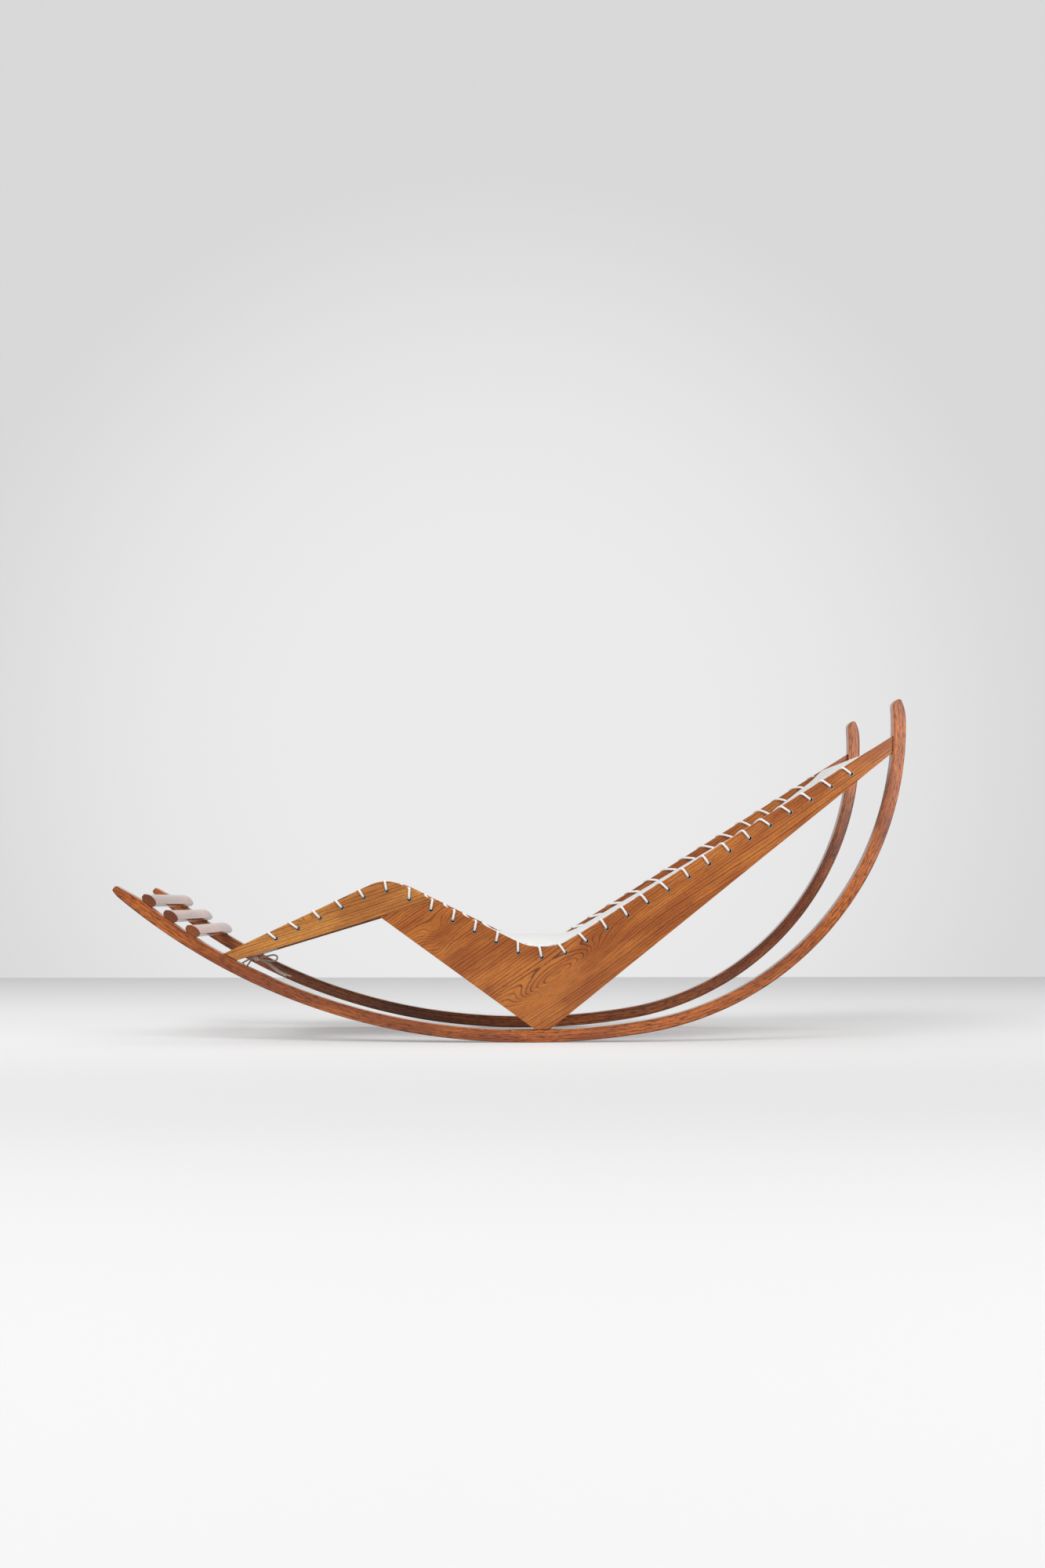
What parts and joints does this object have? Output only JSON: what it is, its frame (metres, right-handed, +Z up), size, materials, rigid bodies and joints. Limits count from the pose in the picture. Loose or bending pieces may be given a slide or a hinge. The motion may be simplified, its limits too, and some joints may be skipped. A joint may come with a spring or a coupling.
{
  "type": "rocking chaise lounge",
  "caption": "Low rocking chaise lounge: bent-wood rockers carry zigzag side panels, a canvas sling laced over their top edges, and slatted footrest bars.",
  "frame": {"origin": "middle of the base of the box around the chaise, on the floor that the rockers stand on", "axes": "+X to the head, +Y to the sitter's right, +Z up"},
  "size_m": [2.1028, 0.6254, 0.9145],
  "materials": {
    "teak_rocker": "satin oiled hardwood",
    "teak_panel": "satin oiled hardwood",
    "teak_inside": "satin oiled hardwood",
    "teak_bar": "lacquered hardwood",
    "nickel": "nickel plated",
    "steel": "plain",
    "canvas": "tight white canvas",
    "cord": "smooth white cord"
  },
  "bodies": {
    "root": {"rocker_left": "teak_rocker", "rocker_right": "teak_rocker", "leg_board_left": "teak_panel", "leg_board_right": "teak_panel", "back_board_left": "teak_panel", "back_board_right": "teak_panel", "foot_rail": "teak_inside", "knee_rail": "teak_inside", "seat_rail": "teak_inside", "head_rail": "teak_inside", "knee_dowels_left": "teak_inside", "knee_dowels_right": "teak_inside", "panel_dowels_left": "teak_inside", "panel_dowels_right": "teak_inside", "footrest_bar_1": "teak_bar", "footrest_bar_2": "teak_bar", "footrest_bar_3": "teak_bar", "panel_eyelets_left": "nickel", "panel_eyelets_right": "nickel", "footrest_screws_left": "steel", "footrest_screws_right": "steel", "canvas_sling": "canvas", "lacing_left": "cord", "lacing_right": "cord", "lacing_knots": "cord", "bow_knot": "cord", "bow_loop_head": "cord", "bow_loop_foot": "cord", "bow_tail_long": "cord", "bow_tail_short": "cord"}
  },
  "joints": []
}
